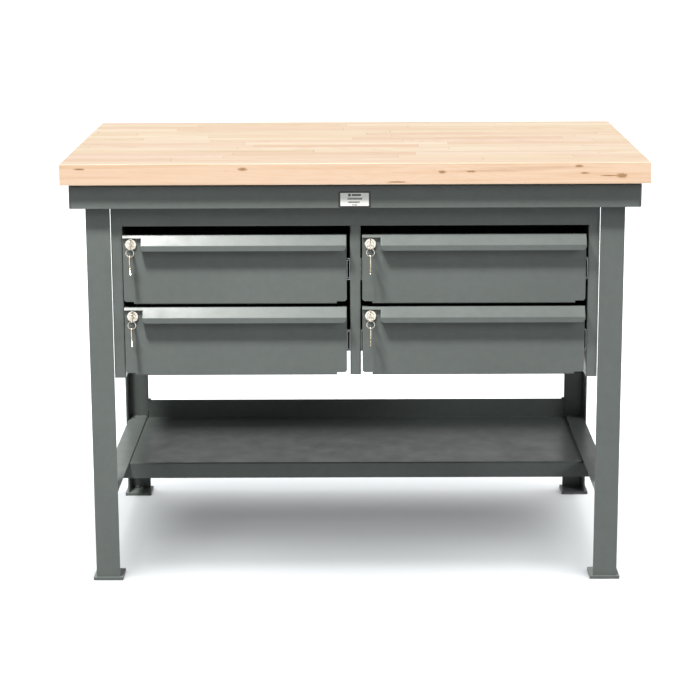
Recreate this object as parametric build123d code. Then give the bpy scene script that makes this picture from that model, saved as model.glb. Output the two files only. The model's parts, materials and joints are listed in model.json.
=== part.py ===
from build123d import *
import math
import os

# Heavy-duty workbench: maple worktop on a welded steel frame, a lower shelf and four lockable
# drawers in two banks.  Millimetres, +X right, +Y to the back, +Z up.  The origin is on the
# floor, under the middle of the worktop.

INCH = 25.4

# ---- Worktop and steel top pan -------------------------------------------------------------
BENCH_WIDTH = 48 * INCH
BENCH_DEPTH = 30 * INCH
STEEL_HEIGHT = 34 * INCH
MAPLE_THICKNESS = 1.75 * INCH
MAPLE_EDGE_RADIUS = 2.0
PAN_HALF_WIDTH = 23.375 * INCH
PAN_HALF_DEPTH = 14.375 * INCH
PAN_HEIGHT = 2 * INCH
PAN_SHEET = 2.66
PAN_BEND_RADIUS = 6.0
DECK_UNDERSIDE = STEEL_HEIGHT - PAN_SHEET

# ---- Legs and foot plates ------------------------------------------------------------------
LEG_OUTER_X = 22.125 * INCH
LEG_OUTER_Y = 13.625 * INCH
LEG_SIZE = 2 * INCH
LEG_WALL = 3 / 16 * INCH
LEG_TOE_RADIUS = 2.4
FOOT_SIZE = 2.5 * INCH
FOOT_THICKNESS = 0.25 * INCH
ANCHOR_INSET = 30.0
ANCHOR_RADIUS = 6.75

# ---- Lower shelf and its side rails --------------------------------------------------------
RAIL_OUTER_X = LEG_OUTER_X - LEG_WALL
RAIL_END_GAP = LEG_WALL
RAIL_HALF_LENGTH = LEG_OUTER_Y - LEG_WALL - RAIL_END_GAP
RAIL_FLANGE = 42.1
RAIL_WEB = 44.45
RAIL_TOP = 189.2
SHELF_TOP = RAIL_TOP - LEG_WALL
SHELF_SHEET = 2.66
SHELF_FRONT_Y = -72.0
SHELF_FRONT_FLANGE = 36.0
SHELF_BACK_LIP = 45.0
SHELF_BEND_RADIUS = 4.0
SHELF_SIDE_GAP = 5.5

# ---- Drawer housing ------------------------------------------------------------------------
HOUSING_SHEET = 1.9
HOUSING_BEND_RADIUS = 1.5
STILE_FACE_Y = -341.1
HOUSING_BACK_Y = 141.5
BAY_OUTER_X = 487.4
STILE_OUTER_X = 510.5
DIVIDER_HALF_WIDTH = 11.25
SIDE_BOTTOM = 447.3
DIVIDER_BOTTOM = 452.9
HEADER_BOTTOM = 771.9
HEADER_TOP_FLANGE = 20.0
BAY_WIDTH = BAY_OUTER_X - DIVIDER_HALF_WIDTH
BAY_CENTRE_X = (BAY_OUTER_X + DIVIDER_HALF_WIDTH) / 2

# ---- Drawers -------------------------------------------------------------------------------
FRONT_FACE_Y = -344.5
FRONT_WIDTH = 468.3
FRONT_HEIGHT = 146.5
FRONT_SHEET = 1.9
FRONT_FLANGE = 12.0
FRONT_CORNER_RADIUS = 6.0
FRONT_BEND_RADIUS = 2.5
NOTCH_WIDTH = 21.0
NOTCH_HEIGHT = 5.5
UPPER_FRONT_TOP = 753.1
DRAWER_PITCH = 153.4
FRONT_CENTRE_X = {"left": -252.4, "right": 248.55}
FRONT_TOP_Z = {"upper": UPPER_FRONT_TOP, "lower": UPPER_FRONT_TOP - DRAWER_PITCH}
BOX_SHEET = 1.5
BOX_TOP_DROP = 23.0
BOX_BOTTOM_RISE = 12.0
BOX_BACK_Y = 110.0
BOX_CORNER_RADIUS = 3.0
BOX_HEM_HEIGHT = 8.0

# ---- Pull on each drawer front -------------------------------------------------------------
PULL_START = 1.5 * INCH
PULL_REACH = 0.625 * INCH
PULL_SLOPE_DROP = 20.0
PULL_TOTAL_DROP = 31.0
PULL_SHEET = 1.9
PULL_CHAMFER = 6.0
PULL_END_RADIUS = 1.8
LEDGE_DROP = 5.0

# ---- Drawer slides: three nested sections ---------------------------------------------------
SLIDE_THICKNESS = 12.7
SLIDE_SHEET = 1.2
SLIDE_FRONT_Y = -336.0
SLIDE_LENGTH = 450.0
SLIDE_DROP = 74.0
OUTER_SECTION_HALF = 22.8
OUTER_SECTION_DEPTH = 9.5
MIDDLE_SECTION_HALF = 19.2
MIDDLE_WEB_AT = 5.4
MIDDLE_LIPS = (2.2, 9.5)
INNER_SECTION_HALF = 14.2
INNER_LIPS_AT = 7.4

# ---- Cam lock and keys ---------------------------------------------------------------------
LOCK_INSET = 17.3
LOCK_DROP = 18.3
LOCK_FLANGE_RADIUS = 12.2
LOCK_FLANGE_THICKNESS = 3.0
LOCK_RIM_RADIUS = 1.4
SCALLOP_COUNT = 8
SCALLOP_RADIUS = 2.6
SCALLOP_CIRCLE = 13.6
LOCK_BODY_RADIUS = 9.5
LOCK_BODY_DEPTH = 22.0
PLUG_RADIUS = 6.95
PLUG_BORE_RADIUS = 7.0
PLUG_PROUD = 4.0
PLUG_TAIL_SIZE = 7.0
PLUG_TAIL_DEPTH = 26.5
KEYWAY = (2.6, 8.6)
KEYWAY_DEPTH = 20.0
CAM_FRONT_DEPTH = 22.4
CAM_THICKNESS = 2.0
CAM_LENGTH = 28.0
CAM_WIDTH = 12.0
CAM_HEAD_RADIUS = 8.0
STRIKE_SLOT_BELOW = 30.0
STRIKE_SLOT_ABOVE = 10.0
STRIKE_SLOT_HALF_DEPTH = 4.0
RELIEF_DEPTH = 34.0
RELIEF_BELOW_LOCK = 38.0
RELIEF_BESIDE_LOCK = 14.0
KEY_THICKNESS = 2.0
KEY_BOW_LENGTH = 22.0
KEY_BOW_WIDTH = 21.0
KEY_BOW_RADIUS = 5.0
KEY_BLADE_LENGTH = 22.0
KEY_BLADE_WIDTH = 8.0
KEY_SLOT_SIZE = (4.2, 16.0)
KEY_HOLE_INSET = 4.2
KEY_SHOULDER_GAP = 0.3
KEY_BITTING = (1.6, 2.4, 1.2, 2.0)
RING_RADIUS = 8.1
RING_WIRE_RADIUS = 0.7
RING_HANG = 7.0

# ---- Small parts ---------------------------------------------------------------------------
SCREW_X = (-420.0, -150.0, 150.0, 420.0)
SCREW_Y = (-290.0, 290.0)
SCREW_RADIUS = 3.1
SCREW_LENGTH = 35.0
SCREW_HEX_WIDTH = 11.0
SCREW_HEAD_HEIGHT = 5.0
SCREW_WASHER_RADIUS = 8.0
SCREW_WASHER_HEIGHT = 1.2
NAMEPLATE_SIZE = (67.0, 0.8, 35.0)
NAMEPLATE_CENTRE = (-1.0, 831.0)

SIDES = {"left": -1, "right": 1}


# ---- Helpers -------------------------------------------------------------------------------
def block(x_range, y_range, z_range):
    """Box between two values on each axis, in either order."""
    ranges = [sorted(values) for values in (x_range, y_range, z_range)]
    sizes = [high - low for low, high in ranges]
    middle = [(low + high) / 2 for low, high in ranges]
    return Pos(*middle) * Box(*sizes)


def rod(x, z, radius, y_range):
    """Cylinder along Y."""
    length = abs(y_range[1] - y_range[0])
    return Pos(x, sum(y_range) / 2, z) * Rot(90, 0, 0) * Cylinder(radius, length)


def post(x, y, radius, z_range):
    """Cylinder along Z."""
    return Pos(x, y, sum(z_range) / 2) * Cylinder(radius, abs(z_range[1] - z_range[0]))


def edges_at(shape, axis, place):
    """Edges parallel to an axis whose centres lie at the given coordinates."""
    found = shape.edges().filter_by(axis)
    for name, value in place.items():
        found = [edge for edge in found if abs(getattr(edge.center(), name) - value) < 0.01]
    return found


def angle_bar(width, depth, wall, root_radius, toe_radius):
    """Rolled angle section: heel at the origin, flanges along +X and +Y."""
    points = [(0, 0), (width, 0), (width, wall), (wall, wall), (wall, depth), (0, depth)]
    face = make_face(Polyline(*points, close=True))
    root = face.vertices().sort_by_distance((wall, wall, 0))[0]
    face = fillet(root, root_radius)
    toes = [face.vertices().sort_by_distance((*corner, 0))[0] for corner in ((width, wall), (wall, depth))]
    return fillet(toes, toe_radius)


# ---- Top -----------------------------------------------------------------------------------
def screw_places():
    return [(x, y) for x in SCREW_X for y in SCREW_Y]


def worktop():
    half_width, half_depth = BENCH_WIDTH / 2, BENCH_DEPTH / 2
    top = STEEL_HEIGHT + MAPLE_THICKNESS
    board = block((-half_width, half_width), (-half_depth, half_depth), (STEEL_HEIGHT, top))
    board = fillet(board.edges(), MAPLE_EDGE_RADIUS)
    pilot_top = DECK_UNDERSIDE + SCREW_LENGTH + 1
    for x, y in screw_places():
        board -= post(x, y, SCREW_RADIUS + 0.05, (STEEL_HEIGHT - 1, pilot_top))
    return board


def steel_top_pan():
    low = STEEL_HEIGHT - PAN_HEIGHT
    outer = block((-PAN_HALF_WIDTH, PAN_HALF_WIDTH), (-PAN_HALF_DEPTH, PAN_HALF_DEPTH), (low, STEEL_HEIGHT))
    outer = fillet([edge for edge in outer.edges() if edge.center().Z > low + 1], PAN_BEND_RADIUS)
    inner_x, inner_y = PAN_HALF_WIDTH - PAN_SHEET, PAN_HALF_DEPTH - PAN_SHEET
    inner = block((-inner_x, inner_x), (-inner_y, inner_y), (low - 5, DECK_UNDERSIDE))
    inner = fillet([edge for edge in inner.edges() if edge.center().Z > low - 4], PAN_BEND_RADIUS - PAN_SHEET)
    pan = outer - inner
    for x, y in screw_places():
        pan -= post(x, y, SCREW_RADIUS + 0.5, (DECK_UNDERSIDE - 1, STEEL_HEIGHT + 1))
    return pan


def worktop_screws():
    washer_low = DECK_UNDERSIDE - SCREW_WASHER_HEIGHT
    head_low = DECK_UNDERSIDE - SCREW_HEAD_HEIGHT
    screws = []
    for x, y in screw_places():
        hexagon = RegularPolygon(SCREW_HEX_WIDTH / 2, 6, major_radius=False)
        screw = Pos(x, y, head_low) * extrude(hexagon, SCREW_HEAD_HEIGHT - SCREW_WASHER_HEIGHT)
        screw += post(x, y, SCREW_WASHER_RADIUS, (washer_low, DECK_UNDERSIDE))
        screw += post(x, y, SCREW_RADIUS, (washer_low, DECK_UNDERSIDE + SCREW_LENGTH))
        screws.append(screw)
    return Compound(children=screws)


def nameplate():
    width, thickness, height = NAMEPLATE_SIZE
    x, z = NAMEPLATE_CENTRE
    plate = Pos(x, -PAN_HALF_DEPTH - thickness / 2, z) * Box(width, thickness, height)
    return fillet(plate.edges().filter_by(Axis.Y), 3.0)


# ---- Legs, feet and lower shelf ------------------------------------------------------------
def leg(side, end):
    """Angle post at a corner; side is -1 or 1 in X, end is -1 at the front and 1 at the back."""
    section = angle_bar(LEG_SIZE, LEG_SIZE, LEG_WALL, LEG_WALL, LEG_TOE_RADIUS)
    bar = extrude(section, DECK_UNDERSIDE - FOOT_THICKNESS)
    bar = Pos(-LEG_OUTER_X, -LEG_OUTER_Y, FOOT_THICKNESS) * bar
    if side > 0:
        bar = mirror(bar, Plane.YZ)
    if end > 0:
        bar = mirror(bar, Plane.XZ)
    return bar


def foot_plates():
    plates = []
    for side in (-1, 1):
        for end in (-1, 1):
            centre_x = side * (LEG_OUTER_X - LEG_SIZE / 2)
            centre_y = end * (LEG_OUTER_Y - LEG_SIZE / 2)
            plate = Pos(centre_x, centre_y, FOOT_THICKNESS / 2) * Box(FOOT_SIZE, FOOT_SIZE, FOOT_THICKNESS)
            plate = fillet(plate.edges().filter_by(Axis.Z), 1.5)
            hole_x = side * (LEG_OUTER_X - ANCHOR_INSET)
            hole_y = end * (LEG_OUTER_Y - ANCHOR_INSET)
            plates.append(plate - post(hole_x, hole_y, ANCHOR_RADIUS, (-1, FOOT_THICKNESS + 1)))
    return Compound(children=plates)


def side_rails():
    """Angles between the front and back legs: flange inwards on top, web down outside."""
    section = angle_bar(RAIL_FLANGE, RAIL_WEB, LEG_WALL, LEG_WALL, LEG_TOE_RADIUS)
    bar = Rot(90, 0, 0) * extrude(section, RAIL_HALF_LENGTH, both=True)
    left = Pos(-RAIL_OUTER_X, 0, RAIL_TOP) * mirror(bar, Plane.XY)
    return Compound(children=[left, mirror(left, Plane.YZ)])


def lower_shelf():
    """Deck with a down-turned front edge and an up-turned lip between the back legs."""
    under = SHELF_TOP - SHELF_SHEET
    side_x = RAIL_OUTER_X - LEG_WALL - SHELF_SIDE_GAP
    lip_x = LEG_OUTER_X - LEG_SIZE
    lip_face_y = LEG_OUTER_Y - LEG_WALL
    lip_back_y = lip_face_y + SHELF_SHEET
    front = block((-side_x, side_x), (SHELF_FRONT_Y, 0), (SHELF_TOP - SHELF_FRONT_FLANGE, SHELF_TOP))
    front = fillet(edges_at(front, Axis.X, {"Y": SHELF_FRONT_Y, "Z": SHELF_TOP}), SHELF_BEND_RADIUS)
    hollow = block((-side_x - 1, side_x + 1), (SHELF_FRONT_Y + SHELF_SHEET, 1), (0, under))
    hollow = fillet(edges_at(hollow, Axis.X, {"Y": SHELF_FRONT_Y + SHELF_SHEET, "Z": under}), 1.3)
    deck = block((-side_x, side_x), (0, lip_face_y - 5), (under, SHELF_TOP))
    lip = block((-lip_x, lip_x), (lip_face_y - 5, lip_back_y), (under, SHELF_TOP + SHELF_BACK_LIP))
    lip = fillet(edges_at(lip, Axis.X, {"Y": lip_back_y, "Z": under}), SHELF_BEND_RADIUS)
    lip_space = block((-lip_x - 1, lip_x + 1), (0, lip_face_y), (SHELF_TOP, SHELF_TOP + 2 * SHELF_BACK_LIP))
    lip_space = fillet(edges_at(lip_space, Axis.X, {"Y": lip_face_y, "Z": SHELF_TOP}), 1.3)
    return (front - hollow) + deck + (lip - lip_space)


# ---- Drawer housing ------------------------------------------------------------------------
def lock_x(bank):
    return FRONT_CENTRE_X[bank] - FRONT_WIDTH / 2 + LOCK_INSET


def lock_z(level):
    return FRONT_TOP_Z[level] - LOCK_DROP


def strike_slot(x_range, level):
    """Slot that the turned cam enters."""
    cam_y = FRONT_FACE_Y + CAM_FRONT_DEPTH + CAM_THICKNESS / 2
    y_range = (cam_y - STRIKE_SLOT_HALF_DEPTH, cam_y + STRIKE_SLOT_HALF_DEPTH)
    z_range = (lock_z(level) - STRIKE_SLOT_BELOW, lock_z(level) + STRIKE_SLOT_ABOVE)
    return block(x_range, y_range, z_range)


def housing_side(side):
    """Outer panel of the housing with its front stile and its top welding flange turned out."""
    panel_x = (side * BAY_OUTER_X, side * (BAY_OUTER_X + HOUSING_SHEET))
    flange_x = (side * BAY_OUTER_X, side * STILE_OUTER_X)
    stile_y = (STILE_FACE_Y, STILE_FACE_Y + HOUSING_SHEET)
    beside_bay = (SIDE_BOTTOM, HEADER_BOTTOM)
    beside_header = (HEADER_BOTTOM, DECK_UNDERSIDE)
    panel = block(panel_x, (STILE_FACE_Y, HOUSING_BACK_Y), beside_bay) + block(flange_x, stile_y, beside_bay)
    bend = edges_at(panel, Axis.Z, {"X": side * BAY_OUTER_X, "Y": STILE_FACE_Y})
    panel = fillet(bend, HOUSING_BEND_RADIUS)
    panel += block(panel_x, (STILE_FACE_Y, HOUSING_BACK_Y), beside_header) + block(flange_x, stile_y, beside_header)
    panel += block(flange_x, (STILE_FACE_Y, HOUSING_BACK_Y), (DECK_UNDERSIDE - HOUSING_SHEET, DECK_UNDERSIDE))
    if side < 0:
        for level in FRONT_TOP_Z:
            panel -= strike_slot((panel_x[0] - 3, panel_x[1] + 3), level)
    return panel


def centre_divider():
    """Channel between the banks: its web is the centre stile, its walls carry the slides."""
    half, sheet = DIVIDER_HALF_WIDTH, HOUSING_SHEET
    web_back = STILE_FACE_Y + sheet
    channel = block((-half, half), (STILE_FACE_Y, HOUSING_BACK_Y), (DIVIDER_BOTTOM, DECK_UNDERSIDE))
    corners = edges_at(channel, Axis.Z, {"Y": STILE_FACE_Y})
    channel = fillet(corners, 2.5)
    inner = half - sheet
    channel -= block((-inner, inner), (web_back, HOUSING_BACK_Y + 1), (DIVIDER_BOTTOM - 1, DECK_UNDERSIDE + 1))
    header_room_y = (STILE_FACE_Y - 1, STILE_FACE_Y + HEADER_TOP_FLANGE + sheet)
    channel -= block((-half - 1, half + 1), header_room_y, (HEADER_BOTTOM, DECK_UNDERSIDE + 1))
    for level in FRONT_TOP_Z:
        channel -= strike_slot((inner - 1, half + 1), level)
    return channel


def front_header():
    """Rail across the top of the drawer openings, with a flange back under the deck."""
    half, sheet = BAY_OUTER_X, HOUSING_SHEET
    web = block((-half, half), (STILE_FACE_Y, STILE_FACE_Y + sheet), (HEADER_BOTTOM, DECK_UNDERSIDE))
    flange_y = (STILE_FACE_Y, STILE_FACE_Y + HEADER_TOP_FLANGE)
    return web + block((-half, half), flange_y, (DECK_UNDERSIDE - sheet, DECK_UNDERSIDE))


def housing_back():
    """Plate welded across the backs of both bays."""
    half = BAY_OUTER_X + HOUSING_SHEET
    return block((-half, half), (HOUSING_BACK_Y, HOUSING_BACK_Y + HOUSING_SHEET), (SIDE_BOTTOM, DECK_UNDERSIDE))


# ---- Drawer slides -------------------------------------------------------------------------
def slide_pair(bank, level, section):
    """Mirrored pair of slide sections, one at each side of a drawer."""
    centre_x = SIDES[bank] * BAY_CENTRE_X
    centre_z = FRONT_TOP_Z[level] - SLIDE_DROP
    bars = []
    for side in (-1, 1):
        wall_x = centre_x + side * BAY_WIDTH / 2
        bar = None
        for (near, far), (low, high) in section:
            strip = block(
                (wall_x - side * near, wall_x - side * far),
                (SLIDE_FRONT_Y, SLIDE_FRONT_Y + SLIDE_LENGTH),
                (centre_z + low, centre_z + high),
            )
            bar = strip if bar is None else bar + strip
        bars.append(bar)
    return bars


def channel_section(web, lips, half_height):
    """Web and two lips, as (distance from the housing wall, height) ranges."""
    upper = (half_height - SLIDE_SHEET, half_height)
    lower = (-half_height, SLIDE_SHEET - half_height)
    return [(web, (-half_height, half_height)), (lips, upper), (lips, lower)]


CABINET_SECTION = channel_section((0, SLIDE_SHEET), (0, OUTER_SECTION_DEPTH), OUTER_SECTION_HALF)
MIDDLE_SECTION = channel_section(
    (MIDDLE_WEB_AT, MIDDLE_WEB_AT + SLIDE_SHEET), MIDDLE_LIPS, MIDDLE_SECTION_HALF
)
DRAWER_SECTION = channel_section(
    (SLIDE_THICKNESS - SLIDE_SHEET, SLIDE_THICKNESS), (INNER_LIPS_AT, SLIDE_THICKNESS), INNER_SECTION_HALF
)


# ---- Drawer box, front and pull ------------------------------------------------------------
def drawer_box(bank, level):
    """Open-topped steel tray, cut away round the lock at its front left corner."""
    centre_x = SIDES[bank] * BAY_CENTRE_X
    half = BAY_WIDTH / 2 - SLIDE_THICKNESS
    front_y = FRONT_FACE_Y + FRONT_SHEET
    top = FRONT_TOP_Z[level] - BOX_TOP_DROP
    bottom = FRONT_TOP_Z[level] - FRONT_HEIGHT + BOX_BOTTOM_RISE
    sheet = BOX_SHEET
    tray = block((centre_x - half, centre_x + half), (front_y, BOX_BACK_Y), (bottom, top))
    tray = fillet(tray.edges().filter_by(Axis.Z), BOX_CORNER_RADIUS)
    inner_x = (centre_x - half + sheet, centre_x + half - sheet)
    room = block(inner_x, (front_y + sheet, BOX_BACK_Y - sheet), (bottom + sheet, top + 1))
    tray -= fillet(room.edges().filter_by(Axis.Z), BOX_CORNER_RADIUS - sheet)
    for side in (-1, 1):
        wall_x = centre_x + side * (half - sheet)
        hem_y = (front_y + BOX_CORNER_RADIUS, BOX_BACK_Y - BOX_CORNER_RADIUS)
        tray += block((wall_x, wall_x - side * sheet), hem_y, (top - BOX_HEM_HEIGHT, top))
    relief_x = (centre_x - half - 1, lock_x(bank) + RELIEF_BESIDE_LOCK)
    relief_z = (lock_z(level) - RELIEF_BELOW_LOCK, top + 1)
    return tray - block(relief_x, (front_y - 1, front_y + RELIEF_DEPTH), relief_z)


def drawer_front(bank, level):
    """Folded front plate: flanges turned back along the top and along the middle of the bottom."""
    centre_x = FRONT_CENTRE_X[bank]
    left, right = centre_x - FRONT_WIDTH / 2, centre_x + FRONT_WIDTH / 2
    top = FRONT_TOP_Z[level]
    bottom = top - FRONT_HEIGHT
    sheet = FRONT_SHEET
    back_y = FRONT_FACE_Y + FRONT_FLANGE
    plate = block((left, right), (FRONT_FACE_Y, back_y), (bottom, top))
    plate = fillet(edges_at(plate, Axis.X, {"Y": FRONT_FACE_Y}), FRONT_BEND_RADIUS)
    room = block((left - 1, right + 1), (FRONT_FACE_Y + sheet, back_y + 1), (bottom + sheet, top - sheet))
    plate -= fillet(edges_at(room, Axis.X, {"Y": FRONT_FACE_Y + sheet}), FRONT_BEND_RADIUS - sheet)
    for edge_x, inward in ((left, 1), (right, -1)):
        notch_x = (edge_x - inward, edge_x + inward * NOTCH_WIDTH)
        plate -= block(notch_x, (FRONT_FACE_Y - 1, back_y + 1), (bottom - 1, bottom + NOTCH_HEIGHT))
    web_bottom = bottom + NOTCH_HEIGHT
    corners = [
        edge
        for edge in edges_at(plate, Axis.Y, {"Z": web_bottom})
        if min(abs(edge.center().X - left), abs(edge.center().X - right)) < 0.01
    ]
    plate = fillet(corners, FRONT_CORNER_RADIUS)
    return plate - rod(lock_x(bank), lock_z(level), LOCK_BODY_RADIUS + 0.05, (FRONT_FACE_Y - 1, FRONT_FACE_Y + 5))


def drawer_pull(bank, level):
    """Sloping strip with a turned-down lip and closed ends, cut back to a ledge above the lock."""
    centre_x = FRONT_CENTRE_X[bank]
    left, right = centre_x - FRONT_WIDTH / 2 + PULL_START, centre_x + FRONT_WIDTH / 2
    top = FRONT_TOP_Z[level]
    nose_y, nose_z = FRONT_FACE_Y - PULL_REACH, top - PULL_SLOPE_DROP
    lip_z = top - PULL_TOTAL_DROP
    outer_points = [(FRONT_FACE_Y, top), (nose_y, nose_z), (nose_y, lip_z), (FRONT_FACE_Y, lip_z)]
    outer = extrude(Plane.YZ * make_face(Polyline(*outer_points, close=True)), right - left)
    outer = Pos(left, 0, 0) * outer
    bottom_corners = [
        edge for edge in edges_at(outer, Axis.Y, {"Z": lip_z}) if edge.center().Y > nose_y + 1
    ]
    outer = chamfer(bottom_corners, PULL_CHAMFER)
    nose = edges_at(outer, Axis.X, {"Y": nose_y, "Z": nose_z})
    outer = fillet(nose, 3.0)
    ends = [
        edge
        for edge in outer.edges()
        if min(abs(edge.center().X - left), abs(edge.center().X - right)) < 0.01
        and edge.center().Y < FRONT_FACE_Y - 0.5
        and edge.center().Z > lip_z + PULL_CHAMFER
    ]
    outer = fillet(ends, PULL_END_RADIUS)
    slope = PULL_SLOPE_DROP / PULL_REACH
    sheet_drop = PULL_SHEET * math.hypot(1, slope)
    inner_nose_y = nose_y + PULL_SHEET
    inner_nose_z = top - slope * (PULL_REACH - PULL_SHEET) - sheet_drop
    inner_points = [
        (FRONT_FACE_Y + 1, top - sheet_drop + slope),
        (inner_nose_y, inner_nose_z),
        (inner_nose_y, lip_z - 1),
        (FRONT_FACE_Y + 1, lip_z - 1),
    ]
    inner_width = right - left - 2 * PULL_SHEET
    inner = extrude(Plane.YZ * make_face(Polyline(*inner_points, close=True)), inner_width)
    pull = outer - Pos(left + PULL_SHEET, 0, 0) * inner
    ledge_points = [
        (FRONT_FACE_Y, top),
        (FRONT_FACE_Y - LEDGE_DROP / slope, top - LEDGE_DROP),
        (FRONT_FACE_Y - (LEDGE_DROP - sheet_drop) / slope, top - LEDGE_DROP),
        (FRONT_FACE_Y, top - sheet_drop),
    ]
    ledge = extrude(Plane.YZ * make_face(Polyline(*ledge_points, close=True)), PULL_START + PULL_SHEET)
    return pull + Pos(left - PULL_START, 0, 0) * ledge


# ---- Cam lock, keys and ring ---------------------------------------------------------------
def lock_barrel(bank, level):
    """Barrel with a scalloped flange in front of the drawer front."""
    x, z = lock_x(bank), lock_z(level)
    face_y = FRONT_FACE_Y - LOCK_FLANGE_THICKNESS
    back_y = FRONT_FACE_Y + LOCK_BODY_DEPTH
    flange = rod(x, z, LOCK_FLANGE_RADIUS, (face_y, FRONT_FACE_Y))
    rim = flange.edges().filter_by(GeomType.CIRCLE).sort_by(Axis.Y)[0]
    flange = fillet(rim, LOCK_RIM_RADIUS)
    for number in range(SCALLOP_COUNT):
        angle = math.tau * (number + 0.5) / SCALLOP_COUNT
        hollow_x = x + SCALLOP_CIRCLE * math.cos(angle)
        hollow_z = z + SCALLOP_CIRCLE * math.sin(angle)
        flange -= rod(hollow_x, hollow_z, SCALLOP_RADIUS, (face_y - 1, FRONT_FACE_Y + 1))
    body = rod(x, z, LOCK_BODY_RADIUS, (FRONT_FACE_Y, back_y))
    return flange + body - rod(x, z, PLUG_BORE_RADIUS, (face_y - 1, back_y + 1))


def lock_plug(bank, level):
    """Turning plug with its keyway and a square tail with a staked head."""
    x, z = lock_x(bank), lock_z(level)
    face_y = FRONT_FACE_Y - PLUG_PROUD
    shoulder_y = FRONT_FACE_Y + CAM_FRONT_DEPTH
    cam_back_y = shoulder_y + CAM_THICKNESS
    tail = PLUG_TAIL_SIZE / 2
    plug = rod(x, z, PLUG_RADIUS, (face_y, shoulder_y))
    rim = plug.edges().filter_by(GeomType.CIRCLE).sort_by(Axis.Y)[0]
    plug = fillet(rim, 0.8)
    plug += block((x - tail, x + tail), (shoulder_y, cam_back_y), (z - tail, z + tail))
    plug += rod(x, z, PLUG_TAIL_SIZE * 0.72, (cam_back_y, FRONT_FACE_Y + PLUG_TAIL_DEPTH))
    width, height = KEYWAY
    keyway_y = (face_y - 1, FRONT_FACE_Y + KEYWAY_DEPTH)
    return plug - block((x - width / 2, x + width / 2), keyway_y, (z - height / 2, z + height / 2))


def lock_cam(bank, level):
    """Flat cam on the plug's tail, hanging down while the drawer is unlocked."""
    x, z = lock_x(bank), lock_z(level)
    y_range = (FRONT_FACE_Y + CAM_FRONT_DEPTH, FRONT_FACE_Y + CAM_FRONT_DEPTH + CAM_THICKNESS)
    tail = PLUG_TAIL_SIZE / 2
    arm = block((x - CAM_WIDTH / 2, x + CAM_WIDTH / 2), y_range, (z - CAM_LENGTH, z))
    tip = edges_at(arm, Axis.Y, {"Z": z - CAM_LENGTH})
    arm = fillet(tip, 3.0)
    arm += rod(x, z, CAM_HEAD_RADIUS, y_range)
    hole_y = (y_range[0] - 1, y_range[1] + 1)
    return arm - block((x - tail, x + tail), hole_y, (z - tail, z + tail))


def key_shape():
    """Key along +Y from its shoulder at the origin: slotted bow towards -Y, blade towards +Y, flat in X."""
    half = KEY_THICKNESS / 2
    bow = Pos(-KEY_BOW_LENGTH / 2, 0) * RectangleRounded(KEY_BOW_LENGTH, KEY_BOW_WIDTH, KEY_BOW_RADIUS)
    tip = 2.5
    width = KEY_BLADE_WIDTH / 2
    bevel_start = KEY_BLADE_LENGTH - tip
    outline = [(-2, width), (bevel_start, width), (KEY_BLADE_LENGTH, 0), (bevel_start, -width), (-2, -width)]
    profile = bow + make_face(Polyline(*outline, close=True))
    pitch = bevel_start / (len(KEY_BITTING) + 1)
    for number, depth in enumerate(KEY_BITTING, start=1):
        centre = pitch * number + 1
        cut = [(centre - depth - 0.6, -width - 0.1), (centre, depth - width), (centre + depth + 0.6, -width - 0.1)]
        profile -= make_face(Polyline(*cut, close=True))
    width, height = KEY_SLOT_SIZE
    profile -= Pos(KEY_HOLE_INSET - KEY_BOW_LENGTH, 0) * Rot(0, 0, 90) * SlotOverall(height, width)
    return extrude(Plane.YZ * profile, half, both=True)


def key_hole_y():
    shoulder_y = FRONT_FACE_Y - PLUG_PROUD - KEY_SHOULDER_GAP
    return shoulder_y - KEY_BOW_LENGTH + KEY_HOLE_INSET


def ring_centre_z(level):
    """The ring hangs in the lower end of the slot in the inserted key's bow."""
    return lock_z(level) - RING_HANG - RING_RADIUS


def inserted_key(bank, level):
    shoulder_y = FRONT_FACE_Y - PLUG_PROUD - KEY_SHOULDER_GAP
    return Pos(lock_x(bank), shoulder_y, lock_z(level)) * key_shape()


def key_ring(bank, level):
    ring = Rot(90, 0, 0) * Torus(RING_RADIUS, RING_WIRE_RADIUS)
    return Pos(lock_x(bank), key_hole_y(), ring_centre_z(level)) * ring


def spare_key(bank, level):
    """Second key, hanging tip down from the bottom of the ring."""
    hanging = Rot(-90, 0, 0) * key_shape()
    shoulder_z = ring_centre_z(level) - RING_RADIUS - KEY_BOW_LENGTH + KEY_HOLE_INSET
    return Pos(lock_x(bank), key_hole_y(), shoulder_z) * hanging


# ---- Assembly ------------------------------------------------------------------------------
def bench_nodes():
    nodes = {
        "worktop": worktop(),
        "steel_top_pan": steel_top_pan(),
        "worktop_screws": worktop_screws(),
        "nameplate": nameplate(),
        "foot_plates": foot_plates(),
        "side_rails": side_rails(),
        "lower_shelf": lower_shelf(),
        "centre_divider": centre_divider(),
        "front_header": front_header(),
        "housing_sides": Compound(children=[housing_side(-1), housing_side(1)]),
        "housing_back": housing_back(),
    }
    for side_name, side in SIDES.items():
        nodes[f"leg_front_{side_name}"] = leg(side, -1)
        nodes[f"leg_rear_{side_name}"] = leg(side, 1)
    return nodes


def drawer_nodes(bank, level):
    place = f"{level}_{bank}"
    return {
        f"drawer_box_{place}": drawer_box(bank, level),
        f"drawer_front_{place}": drawer_front(bank, level),
        f"drawer_pull_{place}": drawer_pull(bank, level),
        f"drawer_slide_rails_{place}": Compound(children=slide_pair(bank, level, DRAWER_SECTION)),
        f"middle_slide_rails_{place}": Compound(children=slide_pair(bank, level, MIDDLE_SECTION)),
        f"lock_barrel_{place}": lock_barrel(bank, level),
        f"lock_plug_{place}": lock_plug(bank, level),
        f"lock_cam_{place}": lock_cam(bank, level),
        f"key_{place}": inserted_key(bank, level),
        f"key_ring_{place}": key_ring(bank, level),
        f"spare_key_{place}": spare_key(bank, level),
    }


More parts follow.
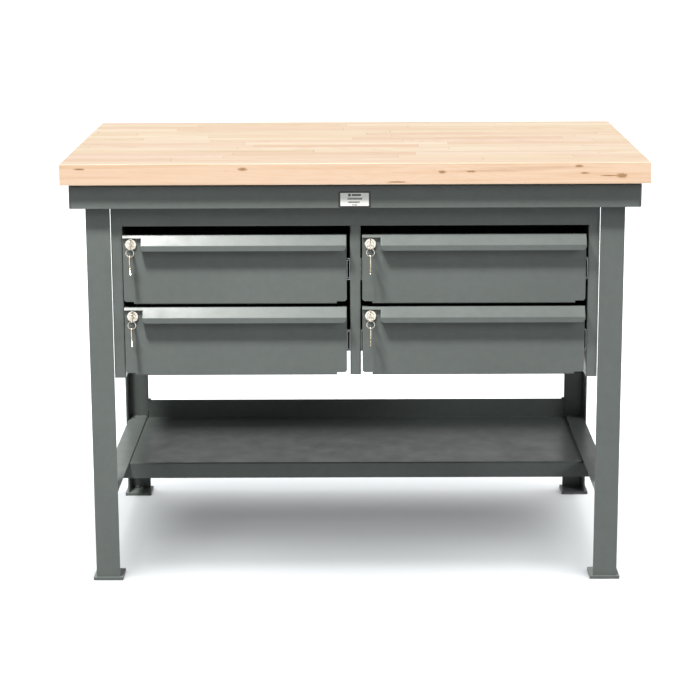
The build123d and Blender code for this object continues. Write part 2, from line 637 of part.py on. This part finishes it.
def main():
    nodes = bench_nodes()
    cabinet_rails = []
    for bank in SIDES:
        for level in FRONT_TOP_Z:
            nodes.update(drawer_nodes(bank, level))
            cabinet_rails += slide_pair(bank, level, CABINET_SECTION)
    nodes["cabinet_slide_rails"] = Compound(children=cabinet_rails)
    os.makedirs("parts", exist_ok=True)
    for name, shape in nodes.items():
        export_step(shape, f"parts/{name}.step")


main()
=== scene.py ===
import json
import math
import random

import bmesh
import bpy
from mathutils import Matrix, Vector

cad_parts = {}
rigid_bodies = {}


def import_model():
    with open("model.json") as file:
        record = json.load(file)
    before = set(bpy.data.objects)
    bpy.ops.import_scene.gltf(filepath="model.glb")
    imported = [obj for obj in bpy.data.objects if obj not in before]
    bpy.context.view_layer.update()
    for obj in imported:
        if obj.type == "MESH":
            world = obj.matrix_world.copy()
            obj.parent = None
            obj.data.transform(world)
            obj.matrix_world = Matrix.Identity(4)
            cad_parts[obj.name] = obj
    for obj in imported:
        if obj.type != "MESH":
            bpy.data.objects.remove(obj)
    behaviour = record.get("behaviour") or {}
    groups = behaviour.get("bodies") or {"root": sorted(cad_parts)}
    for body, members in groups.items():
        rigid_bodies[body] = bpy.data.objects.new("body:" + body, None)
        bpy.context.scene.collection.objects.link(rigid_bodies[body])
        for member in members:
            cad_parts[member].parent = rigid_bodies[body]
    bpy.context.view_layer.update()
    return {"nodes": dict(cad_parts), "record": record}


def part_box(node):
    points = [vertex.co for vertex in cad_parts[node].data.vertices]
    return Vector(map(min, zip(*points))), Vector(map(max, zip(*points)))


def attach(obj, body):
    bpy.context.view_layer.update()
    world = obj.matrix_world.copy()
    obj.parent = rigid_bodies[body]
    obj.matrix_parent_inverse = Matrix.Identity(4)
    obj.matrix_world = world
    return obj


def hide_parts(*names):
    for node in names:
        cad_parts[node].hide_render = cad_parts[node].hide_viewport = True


# Looks for a steel workbench with a maple top and four lockable drawers.  Metres, in the frame
# of the CAD model: +X right, +Y to the back, +Z up, the origin on the floor under the top.

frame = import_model()
nodes = frame["nodes"]

PLACES = [f"{level}_{bank}" for bank in ("left", "right") for level in ("upper", "lower")]

# ---- Camera --------------------------------------------------------------------------------
CAMERA_PLACE = (0.0051, -4.6594, 1.4712)
CAMERA_YAW = math.radians(0.226)
CAMERA_PITCH_DOWN = math.radians(12.597)
CAMERA_ROLL = math.radians(-0.242)
CAMERA_LENS = 107.62
SENSOR_WIDTH = 36.0

# ---- Light ---------------------------------------------------------------------------------
KEY_DIRECTION = (0.45, 1.0, -2.9)
KEY_PLACE = (-0.92, -1.25, 3.1)

# ---- Looks ---------------------------------------------------------------------------------
EDGE_WIDTH = 0.0004
SMALL_EDGE_WIDTH = 0.00012
LEG_WALL = 3 / 16 * 0.0254
RAIL_FLANGE = 0.0421
STAVE_COUNT = 17
# Knots on the front board: place along the bench and height, half length and half height.
KNOTS = [
    (-0.5674, 0.8973, 0.0105, 0.0020),
    (-0.2312, 0.8965, 0.0090, 0.0032),
    (0.0864, 0.8690, 0.0200, 0.0016),
    (0.1789, 0.8894, 0.0070, 0.0030),
    (0.2385, 0.8902, 0.0090, 0.0018),
    (0.4602, 0.9007, 0.0080, 0.0026),
    (0.4728, 0.8862, 0.0085, 0.0018),
    (0.5490, 0.8807, 0.0110, 0.0044),
    (0.5243, 0.8808, 0.0180, 0.0014),
]
WELD_RADIUS = 0.0028
WELD_RIPPLE = 0.0022


def rgb(red, green, blue):
    """Linear colour from display values of 0 to 255."""
    channels = [value / 255 for value in (red, green, blue)]
    linear = [c / 12.92 if c <= 0.04045 else ((c + 0.055) / 1.055) ** 2.4 for c in channels]
    return (*linear, 1.0)


# ---- Shader graphs -------------------------------------------------------------------------
class Graph:
    """A material's node tree, with short calls that add and link nodes."""

    def __init__(self, name):
        self.material = bpy.data.materials.new(name)
        self.material.use_nodes = True
        self.tree = self.material.node_tree
        self.tree.nodes.clear()
        self.shader = self.tree.nodes.new("ShaderNodeBsdfPrincipled")
        output = self.tree.nodes.new("ShaderNodeOutputMaterial")
        self.tree.links.new(self.shader.outputs["BSDF"], output.inputs["Surface"])
        self.place = self.node("ShaderNodeTexCoord").outputs["Object"]

    def feed(self, socket, value):
        """Link a socket, or set a constant on it."""
        if isinstance(value, bpy.types.NodeSocket):
            self.tree.links.new(value, socket)
        else:
            socket.default_value = value

    def node(self, kind, inputs=(), **settings):
        made = self.tree.nodes.new(kind)
        for key, value in settings.items():
            setattr(made, key, value)
        for key, value in dict(inputs).items():
            self.feed(made.inputs[key], value)
        return made

    def math(self, operation, first, second=0.0, third=0.0, clamp=False):
        made = self.node("ShaderNodeMath", operation=operation, use_clamp=clamp)
        for socket, value in zip(made.inputs, (first, second, third)):
            self.feed(socket, value)
        return made.outputs[0]

    def axes(self, vector=None):
        split = self.node("ShaderNodeSeparateXYZ", {"Vector": vector or self.place})
        return split.outputs

    def vector(self, x, y, z):
        return self.node("ShaderNodeCombineXYZ", {"X": x, "Y": y, "Z": z}).outputs[0]

    def stretched(self, scale, vector=None):
        """Coordinates scaled differently along each axis."""
        made = self.node("ShaderNodeMapping", {"Vector": vector or self.place, "Scale": scale})
        return made.outputs[0]

    def noise(self, scale, detail=3.0, vector=None, roughness=0.5, distortion=0.0):
        inputs = {
            "Vector": vector or self.place,
            "Scale": scale,
            "Detail": detail,
            "Roughness": roughness,
            "Distortion": distortion,
        }
        return self.node("ShaderNodeTexNoise", inputs).outputs["Fac"]

    def span(self, value, low, high, to_low=0.0, to_high=1.0):
        """Value from low..high moved to to_low..to_high and clamped."""
        inputs = {"Value": value, "From Min": low, "From Max": high, "To Min": to_low, "To Max": to_high}
        return self.node("ShaderNodeMapRange", inputs, clamp=True).outputs[0]

    def mix(self, factor, first, second):
        made = self.node("ShaderNodeMix", data_type="RGBA", clamp_factor=True)
        self.feed(made.inputs["Factor"], factor)
        self.feed(made.inputs[6], first)
        self.feed(made.inputs[7], second)
        return made.outputs[2]

    def bump(self, height, strength, distance):
        inputs = {"Height": height, "Strength": strength, "Distance": distance}
        return self.node("ShaderNodeBump", inputs).outputs[0]

    def finish(self, **inputs):
        names = {"colour": "Base Color", "rough": "Roughness", "metal": "Metallic", "normal": "Normal"}
        names.update({"coat": "Coat Weight", "coat_rough": "Coat Roughness"})
        names["specular"] = "Specular IOR Level"
        for key, value in inputs.items():
            self.feed(self.shader.inputs[names[key]], value)
        return self.material


def enamel(name, dark, light, rough):
    """Sprayed enamel: faint mottling, orange peel and fine dust in the paint."""
    g = Graph(name)
    broad = g.noise(3.2, 3.0)
    mottle = g.noise(55.0, 4.0, roughness=0.6)
    blend = g.math("MULTIPLY_ADD", mottle, 0.45, g.math("MULTIPLY", broad, 0.55))
    colour = g.mix(g.span(blend, 0.35, 0.65), dark, light)
    dust = g.span(g.noise(900.0, 2.0), 0.68, 0.76)
    colour = g.mix(g.math("MULTIPLY", dust, 0.25), colour, rgb(150, 155, 152))
    peel = g.noise(420.0, 2.0)
    grain = g.math("MULTIPLY_ADD", g.noise(2600.0, 2.0), 0.25, peel)
    roughness = g.span(g.noise(24.0, 4.0), 0.3, 0.7, rough - 0.05, rough + 0.06)
    return g.finish(colour=colour, rough=roughness, normal=g.bump(grain, 0.22, 0.0002), specular=0.32)


def knot_mask(g, x, z, knot, wobble):
    """1 inside one knot on the front board, fading out round it."""
    centre_x, centre_z, half_x, half_z = knot
    across = g.math("MULTIPLY", g.math("SUBTRACT", x, centre_x), 1 / half_x)
    up = g.math("MULTIPLY", g.math("SUBTRACT", z, centre_z), 1 / half_z)
    squared = g.math("MULTIPLY_ADD", up, up, g.math("MULTIPLY", across, across))
    reach = g.math("ADD", g.math("SQRT", squared), wobble)
    return g.span(reach, 1.3, 0.7)


def maple():
    """Glued maple staves along the bench, with butt joints, figure, knots and end grain."""
    g = Graph("maple")
    low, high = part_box("worktop")
    stave_width = (high.y - low.y) / STAVE_COUNT
    x, y, z = g.axes()
    across = g.math("MULTIPLY", g.math("SUBTRACT", y, low.y), 1 / stave_width)
    stave = g.math("FLOOR", across)
    lottery = g.node("ShaderNodeTexWhiteNoise", {"W": stave}, noise_dimensions="1D")
    draw = g.axes(lottery.outputs["Color"])
    length = g.span(draw[0], 0.0, 1.0, 1.3, 2.9)
    along = g.math("MULTIPLY_ADD", x, length, g.math("MULTIPLY", draw[1], 17.0))
    front = g.math("LESS_THAN", stave, 0.5)
    along = g.math("MULTIPLY_ADD", g.math("SUBTRACT", 1.0, front), along, g.math("MULTIPLY", front, 0.5))
    piece = g.math("FLOOR", along)
    marks = g.node("ShaderNodeTexWhiteNoise", {"Vector": g.vector(stave, piece, 3.7)}, noise_dimensions="3D")
    tone, warmth, figure = g.axes(marks.outputs["Color"])
    tone = g.mix(front, tone, (0.35, 0.35, 0.35, 1.0))
    warmth = g.mix(front, warmth, (0.62, 0.62, 0.62, 1.0))

    shift = g.math("MULTIPLY", marks.outputs["Value"], 40.0)
    moved = g.vector(g.math("ADD", x, shift), g.math("ADD", y, shift), g.math("ADD", z, shift))
    streaks = g.noise(1.0, 4.0, g.stretched((3.0, 130.0, 130.0), moved), roughness=0.62)
    pores = g.noise(1.0, 2.0, g.stretched((40.0, 900.0, 900.0), moved))
    clouds = g.noise(1.0, 2.0, g.stretched((1.6, 9.0, 12.0), moved), distortion=0.6)
    rings = g.math("MULTIPLY_ADD", clouds, 15.0, g.math("MULTIPLY", z, 60.0))
    contour = g.math("ABSOLUTE", g.math("SUBTRACT", g.math("FRACT", rings), 0.5))
    contour = g.span(contour, 0.0, 0.32, 1.0, 0.0)

    pale = g.mix(tone, rgb(250, 232, 206), rgb(240, 215, 182))
    pink = g.mix(tone, rgb(248, 224, 203), rgb(238, 205, 176))
    colour = g.mix(g.span(warmth, 0.3, 0.8), pale, pink)
    colour = g.mix(g.span(streaks, 0.48, 0.75, 0.0, 0.55), colour, rgb(216, 174, 132))
    cathedral = g.math("MULTIPLY", contour, g.span(figure, 0.2, 0.9, 0.10, 0.30))
    colour = g.mix(cathedral, colour, rgb(214, 172, 132))
    mineral = g.noise(1.0, 2.0, g.stretched((1.3, 60.0, 60.0), moved))
    colour = g.mix(g.span(mineral, 0.66, 0.76, 0.0, 0.5), colour, rgb(168, 120, 84))
    colour = g.mix(g.span(pores, 0.62, 0.8, 0.0, 0.25), colour, rgb(176, 132, 92))

    end_normal = g.axes(g.node("ShaderNodeNewGeometry").outputs["Normal"])[0]
    on_end = g.span(g.math("ABSOLUTE", end_normal), 0.7, 0.9)
    heart_y = g.math("SUBTRACT", g.math("FRACT", across), g.span(draw[2], 0.0, 1.0, -0.6, 1.6))
    heart_z = g.math("MULTIPLY_ADD", z, 20.0, g.span(tone, 0.0, 1.0, -19.2, -16.0))
    squared = g.math("MULTIPLY_ADD", heart_y, heart_y, g.math("MULTIPLY", heart_z, heart_z))
    years = g.math("SINE", g.math("MULTIPLY", g.math("SQRT", squared), 95.0))
    end_tone = g.mix(g.span(years, -0.2, 1.0), rgb(214, 172, 124), rgb(184, 138, 92))
    colour = g.mix(g.math("MULTIPLY", on_end, 0.75), colour, end_tone)

    seam = g.math("ABSOLUTE", g.math("SUBTRACT", g.math("FRACT", across), 0.5))
    seam = g.span(seam, 0.490, 0.4985)
    butt = g.math("ABSOLUTE", g.math("SUBTRACT", g.math("FRACT", along), 0.5))
    butt = g.span(butt, 0.4982, 0.4995)
    glue = g.math("MAXIMUM", seam, butt)
    colour = g.mix(g.math("MULTIPLY", glue, 0.45), colour, rgb(150, 108, 72))

    wobble = g.math("MULTIPLY", g.math("SUBTRACT", g.noise(320.0, 3.0), 0.5), 1.3)
    on_front = g.span(y, low.y + 0.4 * stave_width, low.y + 0.2 * stave_width)
    spots = 0.0
    for knot in KNOTS:
        spots = g.math("MAXIMUM", spots, knot_mask(g, x, z, knot, wobble))
    spots = g.math("MULTIPLY", spots, on_front)
    colour = g.mix(g.math("MULTIPLY", spots, 0.85), colour, rgb(138, 98, 54))

    height = g.math("MULTIPLY_ADD", streaks, 0.4, g.math("MULTIPLY", pores, -0.6))
    height = g.math("SUBTRACT", height, g.math("MULTIPLY", glue, 0.8))
    rough = g.span(streaks, 0.3, 0.8, 0.36, 0.52)
    normal = g.bump(height, 0.25, 0.0002)
    return g.finish(colour=colour, rough=rough, normal=normal, coat=0.12, coat_rough=0.25)


def brushed(name, dark, light, rough, stretch):
    """Plated or milled metal with fine lines along one axis and faint stains."""
    g = Graph(name)
    lines = g.noise(1.0, 3.0, g.stretched(stretch), roughness=0.6)
    stain = g.noise(60.0, 4.0)
    colour = g.mix(g.math("MULTIPLY_ADD", lines, 0.6, g.math("MULTIPLY", stain, 0.4)), dark, light)
    roughness = g.span(stain, 0.3, 0.7, rough - 0.05, rough + 0.09)
    return g.finish(colour=colour, metal=1.0, rough=roughness, normal=g.bump(lines, 0.12, 0.0001))


def nameplate_material():
    """White printed plate with a dark rim and a few plain bars that spell nothing."""
    g = Graph("nameplate_print")
    low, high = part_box("nameplate")
    x, _, z = g.axes()
    u = g.math("MULTIPLY", g.math("SUBTRACT", x, low.x), 1 / (high.x - low.x))
    v = g.math("MULTIPLY", g.math("SUBTRACT", z, low.z), 1 / (high.z - low.z))

    def inside(value, start, end, soft=0.006):
        after_start = g.span(value, start - soft, start + soft)
        return g.math("MULTIPLY", after_start, g.span(value, end + soft, end - soft))

    def patch(u0, u1, v0, v1):
        return g.math("MULTIPLY", inside(u, u0, u1), inside(v, v0, v1))

    field = patch(0.06, 0.94, 0.11, 0.88)
    marks = patch(0.30, 0.38, 0.68, 0.84)
    bars = [
        (0.41, 0.70, 0.70, 0.82),
        (0.28, 0.74, 0.48, 0.60),
        (0.30, 0.66, 0.28, 0.38),
        (0.42, 0.58, 0.14, 0.20),
    ]
    for bar in bars:
        marks = g.math("MAXIMUM", marks, patch(*bar))
    teeth = g.math("GREATER_THAN", g.math("FRACT", g.math("MULTIPLY", u, 26.0)), 0.25)
    marks = g.math("MULTIPLY", marks, g.math("MAXIMUM", teeth, g.math("GREATER_THAN", v, 0.65)))
    white = g.mix(g.noise(40.0, 3.0), rgb(238, 238, 234), rgb(228, 228, 223))
    colour = g.mix(field, rgb(22, 22, 20), white)
    colour = g.mix(g.math("MULTIPLY", marks, 0.95), colour, rgb(44, 44, 42))
    rough = g.span(g.noise(300.0, 2.0), 0.3, 0.7, 0.28, 0.38)
    return g.finish(colour=colour, rough=rough, normal=g.bump(marks, 0.2, 0.0001))


def floor_material():
    g = Graph("pale_floor")
    colour = g.mix(g.noise(1.5, 3.0), rgb(190, 190, 190), rgb(187, 188, 189))
    return g.finish(colour=colour, rough=0.9, specular=0.1)


# ---- Finishing the CAD nodes -----------------------------------------------------------------
def dress(name, material, edge):
    """Give a CAD node its material and a fine broken edge."""
    piece = nodes[name]
    piece.data.materials.clear()
    piece.data.materials.append(material)
    weld = piece.modifiers.new("join_vertices", "WELD")
    weld.merge_threshold = 0.00001
    bevel = piece.modifiers.new("broken_edge", "BEVEL")
    bevel.width = edge
    bevel.segments = 2
    bevel.limit_method = "ANGLE"
    bevel.angle_limit = math.radians(35)
    bevel.harden_normals = True
    bevel.use_clamp_overlap = True


def new_piece(name, mesh, material, body):
    piece = bpy.data.objects.new(name, mesh)
    bpy.context.scene.collection.objects.link(piece)
    mesh.materials.append(material)
    for face in mesh.polygons:
        face.use_smooth = True
    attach(piece, body)
    return piece


def mesh_of(name, bm):
    bmesh.ops.recalc_face_normals(bm, faces=bm.faces)
    mesh = bpy.data.meshes.new(name)
    bm.to_mesh(mesh)
    bm.free()
    return mesh


def add_tube(bm, points, radii, sides):
    """Sweep a round section along points, with a radius at each."""
    rings = []
    for index, point in enumerate(points):
        before, after = points[max(index - 1, 0)], points[min(index + 1, len(points) - 1)]
        tangent = (after - before).normalized()
        helper = Vector((0, 0, 1)) if abs(tangent.z) < 0.9 else Vector((1, 0, 0))
        side = tangent.cross(helper).normalized()
        up = side.cross(tangent)
        ring = []
        for step in range(sides):
            angle = math.tau * step / sides
            offset = side * math.cos(angle) + up * math.sin(angle)
            ring.append(bm.verts.new(point + offset * radii[index]))
        rings.append(ring)
    skin_rings(bm, rings)


def skin_rings(bm, rings):
    """Join rings of corners with faces, and cap both ends."""
    sides = len(rings[0])
    for here, there in zip(rings, rings[1:]):
        for step in range(sides):
            following = (step + 1) % sides
            bm.faces.new((here[step], here[following], there[following], there[step]))
    bm.faces.new(rings[0])
    bm.faces.new(reversed(rings[-1]))


def add_weld(bm, start, end, radius=WELD_RADIUS, seed=0):
    """Rippled weld bead between two points; half of it lies inside the metal."""
    start, end = Vector(start), Vector(end)
    rng = random.Random(seed)
    steps = max(6, int((end - start).length / (WELD_RIPPLE / 4)))
    points, radii = [], []
    for index in range(steps + 1):
        share = index / steps
        travel = share * (end - start).length
        ripple = abs(math.sin(math.pi * travel / WELD_RIPPLE))
        taper = min(1.0, 0.35 + 8 * min(share, 1 - share))
        wander = Vector([rng.uniform(-1, 1) * 0.00012 for _ in range(3)])
        points.append(start.lerp(end, share) + wander)
        radii.append(radius * taper * (0.86 + 0.14 * ripple))
    add_tube(bm, points, radii, sides=12)


def foot_welds(material):
    """Beads inside each leg, where it stands on its foot plate."""
    bm = bmesh.new()
    for number, name in enumerate(("leg_front_left", "leg_front_right", "leg_rear_left", "leg_rear_right")):
        low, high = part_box(name)
        outer_x, toe_x = (low.x, high.x) if high.x < 0 else (high.x, low.x)
        outer_y, toe_y = (low.y, high.y) if high.y < 0 else (high.y, low.y)
        inward_x = math.copysign(1, toe_x - outer_x)
        inward_y = math.copysign(1, toe_y - outer_y)
        root = Vector((outer_x + inward_x * LEG_WALL, outer_y + inward_y * LEG_WALL, low.z + 0.0008))
        for first, length in ((0.006, 0.014), (0.026, 0.016)):
            start = root + Vector((inward_x * first, 0, 0))
            add_weld(bm, start, start + Vector((inward_x * length, 0, 0)), 0.0042, number * 10 + 1)
        start = root + Vector((0, inward_y * 0.006, 0))
        add_weld(bm, start, start + Vector((0, inward_y * 0.034, 0)), 0.0036, number * 10 + 2)
    return new_piece("foot_weld_beads", mesh_of("foot_weld_beads", bm), material, "bench")


def rail_welds(material):
    """Beads at both ends of the side rails and down the shelf's back corners."""
    bm = bmesh.new()
    rail_low, rail_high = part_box("side_rails")
    shelf_low, shelf_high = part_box("lower_shelf")
    leg_low, leg_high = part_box("leg_rear_left")
    end_gap = (leg_high.y - LEG_WALL) - rail_high.y
    for side in (-1, 1):
        outer = side * rail_high.x
        for end in (-1, 1):
            y = end * (rail_high.y + end_gap / 2)
            start = (outer - side * 0.004, y, rail_high.z - 0.0012)
            stop = (outer - side * (RAIL_FLANGE - 0.002), y, rail_high.z - 0.0012)
            add_weld(bm, start, stop, end_gap * 0.62, 50 + side + 2 * end)
        toe = side * abs(leg_high.x)
        lip_y = shelf_high.y
        lip_top = (toe, lip_y - 0.001, shelf_high.z - 0.002)
        lip_foot = (toe, lip_y - 0.001, shelf_high.z - 0.03)
        add_weld(bm, lip_top, lip_foot, 0.0026, 70 + side)
        blob_top = (toe - side * 0.0005, lip_y - 0.0015, shelf_high.z + 0.003)
        blob_low = (toe - side * 0.0055, lip_y - 0.0015, shelf_high.z - 0.0015)
        add_weld(bm, blob_top, blob_low, 0.0034, 90 + side)
    return new_piece("rail_weld_beads", mesh_of("rail_weld_beads", bm), material, "bench")


def split_ring(place, material):
    """Split ring: two turns of flat wire in place of the plain CAD ring."""
    low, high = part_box(f"key_ring_{place}")
    centre = (low + high) / 2
    half_wide = (high.y - low.y) / 2
    half_thick = half_wide / 2
    radius = (high.x - low.x) / 2 - half_wide
    steps, sides = 72, 12
    bm = bmesh.new()
    rings = []
    for index in range(2 * steps + 1):
        turn = index / steps
        angle = math.tau * turn + math.radians(215)
        outward = Vector((math.cos(angle), 0, math.sin(angle)))
        share = min(1.0, max(0.0, (turn - 0.92) / 0.16))
        middle_y = half_thick * (2 * share - 1) * 0.98
        ring = []
        for step in range(sides):
            section = math.tau * step / sides
            offset = outward * (radius + 0.98 * half_wide * math.cos(section))
            lift = Vector((0, middle_y + 0.98 * half_thick * math.sin(section), 0))
            ring.append(bm.verts.new(centre + offset + lift))
        rings.append(ring)
    skin_rings(bm, rings)
    ring = new_piece(f"split_ring_{place}", mesh_of(f"split_ring_{place}", bm), material, f"ring_{place}")
    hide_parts(f"key_ring_{place}")
    return ring


def slide_balls(place, material):
    """Ball rows with their retainer strips on a drawer's two middle slide members."""
    low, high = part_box(f"middle_slide_rails_{place}")
    centre_z = (low.z + high.z) / 2
    ball_small, ball_large = 0.00115, 0.0018
    outer_z = (high.z - low.z) / 2 + ball_small + 0.00005
    inner_z = (high.z - low.z) / 2 - 0.0012 - ball_large - 0.0001
    pitch, count = 0.011, 15
    bm = bmesh.new()
    for side, edge_x in ((-1, low.x), (1, high.x)):
        rows = [
            (edge_x - side * 0.0036, outer_z, ball_small, high.y - 0.012, -1),
            (edge_x - side * 0.0063, inner_z, ball_large, low.y + 0.020, 1),
        ]
        for x, offset_z, radius, start_y, direction in rows:
            for half in (-1, 1):
                z = centre_z + half * offset_z
                for number in range(count):
                    place_at = Matrix.Translation((x, start_y + direction * pitch * (number + 0.5), z))
                    bmesh.ops.create_icosphere(bm, subdivisions=2, radius=radius, matrix=place_at)
                end_y = start_y + direction * pitch * count
                strip = Matrix.Translation((x, (start_y + end_y) / 2, z))
                size = Matrix.Diagonal((0.0026, abs(end_y - start_y), 0.0006, 1.0))
                bmesh.ops.create_cube(bm, size=1.0, matrix=strip @ size)
    name = f"slide_balls_{place}"
    balls = new_piece(name, mesh_of(name, bm), material, f"middle_rails_{place}")
    return balls


# ---- Stage -----------------------------------------------------------------------------------
def add_camera():
    data = bpy.data.cameras.new("camera")
    data.lens = CAMERA_LENS
    data.sensor_width = SENSOR_WIDTH
    camera = bpy.data.objects.new("camera", data)
    turn = Matrix.Rotation(CAMERA_YAW, 4, "Z") @ Matrix.Rotation(math.pi / 2 - CAMERA_PITCH_DOWN, 4, "X")
    turn = turn @ Matrix.Rotation(CAMERA_ROLL, 4, "Z")
    camera.matrix_world = Matrix.Translation(CAMERA_PLACE) @ turn
    bpy.context.scene.collection.objects.link(camera)
    bpy.context.scene.camera = camera


def add_light(name, kind, place, direction, energy, colour, lights_only):
    """Light that the camera doesn't see and that reaches only the objects in one collection."""
    data = bpy.data.lights.new(name, kind)
    data.energy = energy
    data.color = colour
    light = bpy.data.objects.new(name, data)
    light.location = place
    light.rotation_euler = Vector(direction).to_track_quat("-Z", "Y").to_euler()
    light.visible_camera = False
    bpy.context.scene.collection.objects.link(light)
    light.light_linking.receiver_collection = lights_only
    return data


def add_area(name, place, target, size, energy, colour, lights_only):
    direction = Vector(target) - Vector(place)
    data = add_light(name, "AREA", place, direction, energy, colour, lights_only)
    data.shape = "RECTANGLE"
    data.size, data.size_y = size


def add_sun(name, direction, energy, spread, colour, lights_only):
    """Sun that is left out of reflections; spread is its angle in degrees."""
    data = add_light(name, "SUN", (0, 0, 3), direction, energy, colour, lights_only)
    data.angle = math.radians(spread)
    bpy.data.objects[name].visible_glossy = False


def add_floor():
    mesh = bpy.data.meshes.new("floor")
    reach = 60.0
    corners = [(-reach, -reach, 0), (reach, -reach, 0), (reach, reach, 0), (-reach, reach, 0)]
    mesh.from_pydata(corners, [], [(0, 1, 2, 3)])
    floor = bpy.data.objects.new("floor", mesh)
    mesh.materials.append(floor_material())
    bpy.context.scene.collection.objects.link(floor)
    floor.visible_diffuse = False
    return floor


def add_backdrop():
    """Plain white wall far behind the floor's horizon; it is seen but lights nothing."""
    g = Graph("white_backdrop")
    white = g.mix(g.noise(0.05, 2.0), rgb(255, 255, 255), rgb(253, 254, 254))
    g.feed(g.shader.inputs["Emission Color"], white)
    g.shader.inputs["Emission Strength"].default_value = 1.0
    bm = bmesh.new()
    bmesh.ops.create_cone(bm, segments=64, radius1=50.0, radius2=50.0, depth=80.0)
    backdrop = bpy.data.objects.new("backdrop", mesh_of("backdrop", bm))
    backdrop.data.materials.append(g.finish(colour=rgb(0, 0, 0), rough=1.0, specular=0.0))
    bpy.context.scene.collection.objects.link(backdrop)
    for ray in ("diffuse", "glossy", "transmission", "shadow"):
        setattr(backdrop, f"visible_{ray}", False)


def add_world():
    world = bpy.data.worlds.new("studio")
    world.use_nodes = True
    background = world.node_tree.nodes["Background"]
    background.inputs["Color"].default_value = (0.95, 0.98, 1.0, 1.0)
    background.inputs["Strength"].default_value = 0.33
    bpy.context.scene.world = world


def receivers(name, pieces):
    """Collection of the objects that a light may reach."""
    collection = bpy.data.collections.new(name)
    for piece in pieces:
        collection.objects.link(piece)
    return collection


def light_studio(floor):
    add_world()
    top = nodes["worktop"]
    pieces = [piece for piece in bpy.context.scene.objects if piece.type == "MESH"]
    steel = receivers("steel_and_locks", [piece for piece in pieces if piece not in (top, floor)])
    wood = receivers("wood", [top])
    ground = receivers("ground", [floor])
    warm, neutral, cool = (1.0, 0.99, 0.97), (1.0, 1.0, 1.0), (0.97, 0.99, 1.0)
    add_area("key_softbox", KEY_PLACE, (-0.2, -0.36, 0.7), (0.34, 0.30), 125.0, warm, steel)
    add_area("back_card", (0.3, 3.0, 0.9), (0.0, 0.0, 0.3), (4.0, 1.6), 11.0, neutral, steel)
    add_sun("steel_right", (-0.8, 0.55, -0.5), 1.3, 20.0, neutral, steel)
    add_sun("steel_top", KEY_DIRECTION, 3.7, 8.0, neutral, steel)
    add_sun("wood_top", (0.2, 0.5, -1.0), 2.8, 20.0, neutral, wood)
    add_sun("wood_front", (0.1, 1.0, -0.3), 2.55, 20.0, neutral, wood)
    add_sun("floor_top", (0.0, 0.08, -1.0), 2.5, 24.0, cool, ground)
    add_sun("floor_fill", (-0.35, 0.08, -1.0), 8.5, 150.0, cool, ground)
    bpy.context.scene.view_settings.view_transform = "Standard"


# ---- Build -----------------------------------------------------------------------------------
def dress_nodes():
    paint = enamel("grey_enamel", rgb(86, 91, 88), rgb(93, 98, 95), 0.34)
    zinc = brushed("zinc_plate", rgb(150, 152, 154), rgb(196, 198, 198), 0.32, (500.0, 20.0, 500.0))
    nickel = brushed("nickel_plate", rgb(188, 180, 168), rgb(220, 214, 204), 0.16, (260.0, 260.0, 260.0))
    key_metal = brushed("nickel_silver", rgb(176, 164, 142), rgb(208, 198, 178), 0.24, (900.0, 90.0, 90.0))
    by_slot = {
        "grey_enamel": paint,
        "maple": maple(),
        "zinc_steel": zinc,
        "nickel_lock": nickel,
        "brass_key": key_metal,
        "nameplate": nameplate_material(),
    }
    small = ("key_", "spare_key_", "lock_", "nameplate", "worktop_screws")
    for part in frame["record"]["subparts"]:
        name = part["node"]
        edge = SMALL_EDGE_WIDTH if name.startswith(small) else EDGE_WIDTH
        dress(name, by_slot[part["material_slot"]], edge)
    foot_welds(paint)
    rail_welds(paint)
    for place in PLACES:
        split_ring(place, nickel)
        slide_balls(place, zinc)


add_camera()
dress_nodes()
light_studio(add_floor())
add_backdrop()
